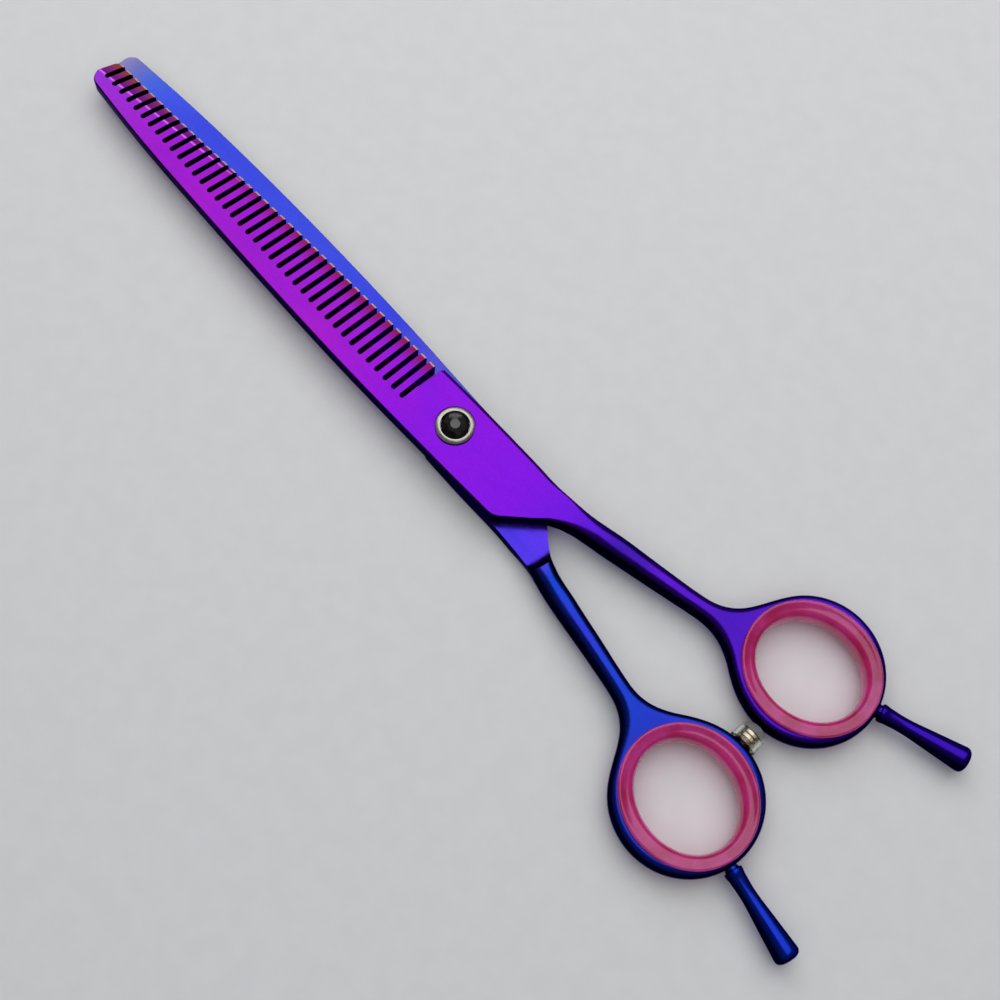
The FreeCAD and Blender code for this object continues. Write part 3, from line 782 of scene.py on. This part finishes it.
class SHEARS_OT_toothed_half(Operator):
    """Build the toothed blade with its shank and finger ring"""
    bl_idname = "shears.toothed_half"
    bl_label = "Toothed half"

    def execute(self, context):
        finish = context.scene.shears_finish
        violet = tuple(finish.violet)
        ring, shank = srgb(66, 24, 176), srgb(62, 28, 168)
        # the dark colour after the stops is painted shade for the steep sides
        material, shader, parts = coated_steel("violet_coating", [
            (-86, ring), (-58, srgb(77, 28, 187)), (-48, shank), (-36, shank), (-30, srgb(91, 28, 212)),
            (-18, srgb(122, 26, 220)), (8, srgb(138, 26, 214)), (30, violet), (75, violet),
            (95, srgb(147, 50, 206))], srgb(10, 2, 24), srgb(100, 28, 222))
        tint_teeth(shader, parts, tuple(finish.tooth_tips))
        near = side_line(spline_run((-43, -9.95), (-36, -8.75), (-30, -7.5), (-27, -6.65), (-22, -5.9),
                                    (-14, -6.0), (0, -6.05), (9.1, -5.9)),
                         spline_run((FIRST_TOOTH_X, -5.05), (28, -4.9), (45, -4.5), (60, -3.95),
                                    (76, -3.27), (93.2, -2.8)),
                         [(93.8, -2.35), (94.15, -0.9), (TIP_X, 0.9)])
        far = side_line(spline_run((-43, -5.85), (-36, -4.25), (-30, -2.86), (-27, -2.2), (-24.8, -1.35),
                                   (-22.9, -0.3)),
                        arc_run((-16.9, 5.5), (-15.9, 6.15), (-14.6, 6.4)),
                        spline_run((-14.6, 6.4), (0, 6.7), (20, 6.85), (40, 6.45), (60, 5.75), (80, 4.7),
                                   (92.9, 3.5)),
                        arc_run((92.9, 3.5), (94.2, 2.6), (TIP_X, 1.15)))
        stations = np.concatenate([
            np.arange(SEAM_X, -14, 0.25), np.arange(-14, 9.1, 1), [9.1, FIRST_TOOTH_X],
            np.arange(11, 92.5, 1.5), [92.9, 93.2, 93.5, 93.8, 94.0, 94.2, 94.35, 94.48, 94.56, TIP_X]])
        sections = [toothed_section(x, near, far) for x in stations]
        piece = half_body("toothed_half_steel", sections, TOOTHED_SHANK, RING_1, OVAL_TURN)
        cut(piece, step_room(UPPER_Z + 0.01, -1),
            prism("seat", disc(HEAD_R + 0.2), HEAD_SEAT, TOP_Z + 1),
            prism("neck", disc(NECK_ROOM[0], 64, NECK_ROOM[1]), RIDE_Z - 1, TOP_Z),
            prism("washer_room", disc(WASHER_ROOM_R), RIDE_Z - 1, WASHER_Z + 0.58),
            prism("first_gap", [(9.75, 2.2), (9.1, -6.5), (10.3, -6.5), (10.3, 2.2)], RIDE_Z - 1, TOP_Z + 1))
        dress(piece, material)
        cut_slots(piece, context.scene.shears_teeth, material)
        even_shading(piece)
        place_piece(piece, "toothed_half", "violet_steel", "toothed_blade")
        return {"FINISHED"}


class SHEARS_OT_plain_half(Operator):
    """Build the plain blade with its shank and finger ring"""
    bl_idname = "shears.plain_half"
    bl_label = "Plain half"

    def execute(self, context):
        finish = context.scene.shears_finish
        blue = tuple(finish.blue)
        ring, shank = srgb(38, 56, 190), srgb(25, 66, 202)
        floor, pale = srgb(92, 54, 236), srgb(112, 108, 176)
        # the dark colour after the stops is painted shade for the steep sides
        material, shader, parts = coated_steel("blue_coating", [
            (-86, ring), (-60, ring), (-50, shank), (-30, shank), (-26, floor), (-10, floor),
            (6, pale), (13, pale), (22, blue), (76, blue), (84, srgb(64, 84, 222)),
            (88, srgb(68, 100, 212)), (92, srgb(104, 112, 184)), (95, srgb(136, 130, 176))],
            srgb(3, 4, 26), srgb(52, 54, 212))
        bare_edge(shader, parts)
        near = side_line(spline_run((-43, 6.7), (-36, 5.3), (-30, 3.95), (-27, 2.8), (-23.6, 0.15)),
                         arc_run((-17.0, -5.7), (-16.0, -6.3), (-14.6, -6.5)),
                         spline_run((-14.6, -6.5), (0, -6.9), (20, -7.75), (40, -8.15), (60, -8.08),
                                    (80, -7.4), (92.6, -6.5)),
                         arc_run((92.6, -6.5), (94.3, -5.9), (94.9, -4.4)))
        far = side_line(spline_run((-43, 10.6), (-36, 9.5), (-30, 8.3), (-27, 7.4), (-20, 6.6), (-8, 6.4),
                                   (0.5, 6.15)),
                        spline_run((0.5, 6.15), (4.0, 4.6), (8.0, 0.75), (10.5, EDGE_Y)), [(93.2, EDGE_Y)],
                        arc_run((93.2, EDGE_Y), (94.4, -0.4), (94.9, -1.6)))
        stations = np.concatenate([
            np.arange(SEAM_X, -14, 0.25), np.arange(-14, 0.5, 1), np.arange(0.5, 13, 0.4),
            np.arange(13.5, 92, 2), [92.6, 93.2, 93.6, 94, 94.3, 94.55, 94.72, 94.84, 94.9]])
        sections = [plain_section(x, near, far) for x in stations]
        piece = half_body("plain_half_steel", sections, PLAIN_SHANK, RING_2, -OVAL_TURN)
        cut(piece, step_room(RIDE_Z - 0.01, 1),
            prism("bush_room", disc(BUSH_R), BUSH_Z - 1, TOP_Z),
            prism("nut_room", disc(NUT_ROOM_R), -1, BUSH_Z),
            prism("washer_room", disc(WASHER_ROOM_R), WASHER_Z, TOP_Z))
        dress(piece, material)
        even_shading(piece)
        place_piece(piece, "plain_half", "blue_steel", "plain_blade")
        return {"FINISHED"}


def insert_piece(name, centre, turn):
    """Soft ring with a dished lip on each side and a wall that bulges into the hole."""
    half = INSERT_H / 2
    lip_low = half - LIP_T
    top = [(0.0, 0.0), (0.015, 0.7), (0.06, 1.35), (0.13, 1.85), (0.22, 2.2), (0.3, 2.38)]
    top += [(t, half - down) for t, down in (
        (0.36, 0.36), (0.45, 0.33), (0.58, 0.27), (0.72, 0.15), (0.82, 0.03), (0.88, 0), (0.94, 0.04),
        (0.985, 0.16), (1.0, 0.32))]
    top += [(0.995, lip_low), (0.62, lip_low), (0.6, lip_low - 0.3)]
    loop = top + [(t, -z) for t, z in top[:0:-1]]
    angle = radians(turn)
    steps = 128
    bm = bmesh.new()
    rings = []
    for k in range(steps):
        a = 2 * pi * k / steps
        ring = []
        for t, z in loop:
            along = (HOLE[0] + (LIP[0] - HOLE[0]) * t) * cos(a)
            over = (HOLE[1] + (LIP[1] - HOLE[1]) * t) * sin(a)
            ring.append((centre.x + along * cos(angle) - over * sin(angle),
                         centre.y + along * sin(angle) + over * cos(angle), MID_Z + z))
        rings.append([bm.verts.new(p) for p in ring])
    for a, b in zip(rings, rings[1:] + rings[:1]):
        for k in range(len(loop)):
            n = (k + 1) % len(loop)
            bm.faces.new((a[k], a[n], b[n], b[k]))
    return finish_mesh(bm, name, 40)


class SHEARS_OT_inserts(Operator):
    """Build the two soft finger inserts"""
    bl_idname = "shears.inserts"
    bl_label = "Finger inserts"

    def execute(self, context):
        pink = tuple(context.scene.shears_finish.pink)
        material, shader = silicone("pink_silicone", pink, srgb(214, 28, 116), 0.12, 0.3)
        feed(shader, {"Coat Weight": 0.6, "Coat IOR": 1.7, "Coat Roughness": 0.05, "Subsurface Weight": 0.6,
                      "Subsurface Radius": (0.004, 0.001, 0.002), "Subsurface Scale": 0.6})
        for half, centre, turn in (("toothed", RING_1, OVAL_TURN), ("plain", RING_2, -OVAL_TURN)):
            piece = dress(insert_piece(half + "_ring_soft_insert", centre, turn), material)
            place_piece(piece, half + "_half", "pink_silicone", half + "_ring_insert")
        return {"FINISHED"}


def rest_outline():
    """Collar, waist, flared end with a soft dome: (distance from the ring's centre, radius)."""
    root = RING_R + 0.02
    collar = [(11.6, 0), (11.6, 1.0), (root, 1.0), (root, 1.22), (root + 0.4, 1.25), (root + 0.46, 1.5),
              (root + 0.56, 1.6), (root + 0.7, 1.62), (root + 1.1, 1.62), (root + 1.4, 1.56)]
    flare = TANG_END - 1.3
    along = np.linspace(root + 1.7, flare, 22)
    waist = smooth([root + 1.5, root + 4.5, root + 10, flare], [1.5, 1.37, 1.75, 2.22], along)
    dome = [(TANG_END - back, r) for back, r in ((1.05, 2.22), (0.8, 2.16), (0.55, 2.02), (0.34, 1.8),
                                                 (0.16, 1.45), (0.05, 1.0), (0, 0.5), (0, 0))]
    return collar + list(zip(along, waist)) + dome


class SHEARS_OT_finger_rests(Operator):
    """Turn the two finger rests"""
    bl_idname = "shears.finger_rests"
    bl_label = "Finger rests"

    def execute(self, context):
        # the last colour of each row is painted shade for the rests' steep sides
        for half, centre, angle, slot, tint, side in (
                ("toothed", RING_1, TANG_1_ANGLE, "violet_steel", srgb(56, 22, 176), srgb(9, 2, 30)),
                ("plain", RING_2, TANG_2_ANGLE, "blue_steel", srgb(27, 56, 204), srgb(4, 4, 34))):
            name = half + "_rest_turned"
            material = coated_steel(name + "_coating", [(-100, tint), (100, tint)], side, tint)[0]
            direction = (cos(radians(angle)), sin(radians(angle)), 0)
            piece = dress(turned(name, rest_outline(), centre, direction), material)
            place_piece(piece, half + "_half", slot, half + "_finger_rest")
        return {"FINISHED"}


class SHEARS_OT_bumper(Operator):
    """Build the ribbed stud and the clear cap between the rings"""
    bl_idname = "shears.bumper"
    bl_label = "Bumper"

    def execute(self, context):
        base = RING_2.y - RING_R
        stud = [(-1.38, 0), (-1.38, 0.8), (0.02, 0.8), (0.02, 1.8), (0.07, 1.85)]
        for groove in (0.38, 0.76, 1.6):
            stud += [(groove - 0.17, 1.85), (groove - 0.13, 1.78), (groove - 0.08, 1.5), (groove, 1.42),
                     (groove + 0.08, 1.5), (groove + 0.13, 1.78), (groove + 0.17, 1.85)]
        stud += [(2.22, 1.85), (2.36, 1.8), (2.45, 1.68), (2.48, 1.5), (2.48, 0)]
        piece = dress(turned("bumper_stud_turned", stud, (BUMPER_X, base, MID_Z), (0, -1, 0), 48),
                      bright_steel("stud_steel", srgb(232, 222, 196), 0.14, 0.26, 1800, (1, 0.1, 1)))
        place_piece(piece, "plain_half", "bright_steel", "bumper_stud")
        tip = base - (RING_1.y + RING_R + 0.05)
        dome = [(tip - 1.9 + 1.9 * sin(radians(a)), 2.5 * cos(radians(a))) for a in range(0, 90, 6)]
        cap = [(2.52, 0), (2.52, 1.55), (2.46, 1.76), (2.3, 1.87), (0.06, 1.87), (0.06, 2.5), (0.12, 2.58),
               (0.4, 2.58), (0.52, 2.5), *dome, (tip, 0)]
        material = silicone("clear_silicone", srgb(252, 252, 249), srgb(247, 248, 244), 0.02, 1.0)[0]
        piece = dress(turned("bumper_cap_clear", cap, (BUMPER_X, base, MID_Z), (0, -1, 0), 64), material)
        place_piece(piece, "plain_half", "clear_silicone", "bumper_cap")
        return {"FINISHED"}


class SHEARS_OT_pivot(Operator):
    """Build the pivot screw's bezel and its faceted stone"""
    bl_idname = "shears.pivot"
    bl_label = "Jewelled pivot"

    def execute(self, context):
        steel = bright_steel("bezel_steel", srgb(222, 217, 205), 0.22, 0.36, 2200)
        rim = HEAD_RIM
        screw = [(0, 0), (0, 1.25), (0.25, 1.48), (1.3, 1.48), (1.36, 1.98), (3.7, 1.98), (3.74, 2.45),
                 (HEAD_SEAT - 0.02, 2.45), (HEAD_SEAT, 3.3), (HEAD_SEAT + 0.08, 3.42), (TOP_Z + 0.22, 3.42),
                 (TOP_Z + 0.29, 3.39), (TOP_Z + 0.35, 3.33), (TOP_Z + 0.43, 3.16), (rim - 0.05, 2.98),
                 (rim - 0.01, 2.82), (rim, 2.72), (rim - 0.03, 2.62), (rim - 0.1, 2.57), (rim - 0.22, 2.55),
                 (STONE_SEAT, 2.54), (STONE_SEAT, 0)]
        piece = dress(turned("pivot_bezel", screw, steps=96), steel)
        place_piece(piece, "toothed_half", "bright_steel", "pivot_screw")
        stone = dress(self.stone(), black_stone("black_stone", tuple(context.scene.shears_finish.stone)))
        place_piece(stone, "toothed_half", "black_stone", "pivot_gem")
        return {"FINISHED"}

    @staticmethod
    def stone():
        """Round cut: table, star, bezel and girdle facets over a plain seat."""
        seat = STONE_SEAT
        levels = [(1.75, seat, 0), (2.5, seat + 0.35, 0), (2.5, seat + 0.5, 0), (2.02, seat + 0.78, 1),
                  (1.45, seat + 0.94, 0), (0.86, TOP_Z + 1.15, 1)]
        bm = bmesh.new()
        rings = []
        for radius, z, shift in levels:
            turn = [2 * pi * (k + shift / 2) / STONE_SIDES for k in range(STONE_SIDES)]
            rings.append([bm.verts.new((radius * cos(a), radius * sin(a), z)) for a in turn])
        for (a, b), (low, high) in zip(zip(rings, rings[1:]), zip(levels, levels[1:])):
            for k in range(STONE_SIDES):
                n = (k + 1) % STONE_SIDES
                if low[2] == high[2]:
                    bm.faces.new((a[k], a[n], b[n], b[k]))
                elif low[2] < high[2]:
                    bm.faces.new((a[k], a[n], b[k]))
                    bm.faces.new((b[k], a[n], b[n]))
                else:
                    bm.faces.new((a[k], a[n], b[n]))
                    bm.faces.new((a[k], b[n], b[k]))
        bm.faces.new(rings[0])
        bm.faces.new(rings[-1])
        return finish_mesh(bm, "faceted_stone", 1)


class SHEARS_OT_pivot_hardware(Operator):
    """Give the washers, bush and tension nut their finishes"""
    bl_idname = "shears.pivot_hardware"
    bl_label = "Pivot hardware"

    def execute(self, context):
        finishes = {
            "pivot_bush": bright_steel("bronze", srgb(176, 128, 66), 0.3, 0.45, 1500),
            "friction_washer": moulded_plastic("nylon", srgb(232, 228, 215), 0.42),
            "spring_washer": bright_steel("spring_steel", srgb(150, 150, 156), 0.25, 0.4, 1600),
            "tension_nut": bright_steel("nut_steel", srgb(212, 210, 204), 0.2, 0.34, 1500, (1, 1, 0.1)),
        }
        for name, material in finishes.items():
            dress(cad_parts[name], material)
        return {"FINISHED"}


class SHEARS_OT_stage(Operator):
    """Lay the pale floor and set the soft light and the camera"""
    bl_idname = "shears.stage"
    bl_label = "Stage"

    def execute(self, context):
        finish = context.scene.shears_finish
        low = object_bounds()[0]
        bpy.ops.mesh.primitive_grid_add(x_subdivisions=4, y_subdivisions=4, size=6,
                                        location=(0, 0, low[2] - 0.0002))
        floor = context.object
        floor.name = "pale_floor"
        material, tree, shader, place = new_material("floor")
        speckle = span(tree, grain(tree, place, 240, 4), 0.3, 0.7)
        tint = tuple(finish.floor)
        feed(shader, {"Base Color": mix(tree, speckle, opaque(tint), darker(tint, 0.975)), "Roughness": 0.7})
        dress(floor, material)
        floor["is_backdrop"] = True
        self.area_light("overhead", (0.38, -0.31, 0.5), 1.1, 0.74, finish.light_power)
        fill = self.area_light("fill", (-0.1, 0.1, 0.6), 1.2, 1.2, finish.fill_power)
        fill.visible_glossy = False
        world = bpy.data.worlds.new("studio")
        context.scene.world = world
        world.use_nodes = True
        feed(world.node_tree.nodes["Background"], {0: (0.9, 0.93, 1, 1), 1: 0.12})
        lens = bpy.data.cameras.new("camera")
        lens.lens = 57.43
        lens.sensor_width = 36
        lens.clip_start = 0.01
        camera = bpy.data.objects.new("camera", lens)
        context.scene.collection.objects.link(camera)
        turn = Matrix(CAMERA_AXES).transposed().to_4x4()
        camera.matrix_world = Matrix.Translation(Vector(CAMERA_PLACE) * MM) @ turn
        context.scene.camera = camera
        context.scene.view_settings.view_transform = "Standard"
        return {"FINISHED"}

    @staticmethod
    def area_light(name, place, width, depth, power):
        light = bpy.data.lights.new(name, "AREA")
        light.shape = "RECTANGLE"
        light.size, light.size_y, light.energy = width, depth, power
        lamp = bpy.data.objects.new(name, light)
        lamp.location = place
        bpy.context.scene.collection.objects.link(lamp)
        return lamp


class SHEARS_PT_panel(Panel):
    """Sidebar list of the pieces and their settings"""
    bl_label = "Thinning Shears"
    bl_space_type = "VIEW_3D"
    bl_region_type = "UI"
    bl_category = "Shears"

    def draw(self, context):
        for group in (context.scene.shears_teeth, context.scene.shears_finish):
            for name in group.__annotations__:
                self.layout.prop(group, name)
        for step in STEPS:
            self.layout.operator(step.bl_idname)


STEPS = (SHEARS_OT_toothed_half, SHEARS_OT_plain_half, SHEARS_OT_inserts, SHEARS_OT_finger_rests,
         SHEARS_OT_bumper, SHEARS_OT_pivot, SHEARS_OT_pivot_hardware, SHEARS_OT_stage)
CLASSES = (ShearsTeeth, ShearsFinish, *STEPS, SHEARS_PT_panel)


def register():
    for kind in CLASSES:
        bpy.utils.register_class(kind)
    bpy.types.Scene.shears_teeth = PointerProperty(type=ShearsTeeth)
    bpy.types.Scene.shears_finish = PointerProperty(type=ShearsFinish)


def unregister():
    del bpy.types.Scene.shears_finish
    del bpy.types.Scene.shears_teeth
    for kind in reversed(CLASSES):
        bpy.utils.unregister_class(kind)


def main():
    register()
    for step in STEPS:
        group, name = step.bl_idname.split(".")
        getattr(getattr(bpy.ops, group), name)()


if __name__ == "__main__":
    main()
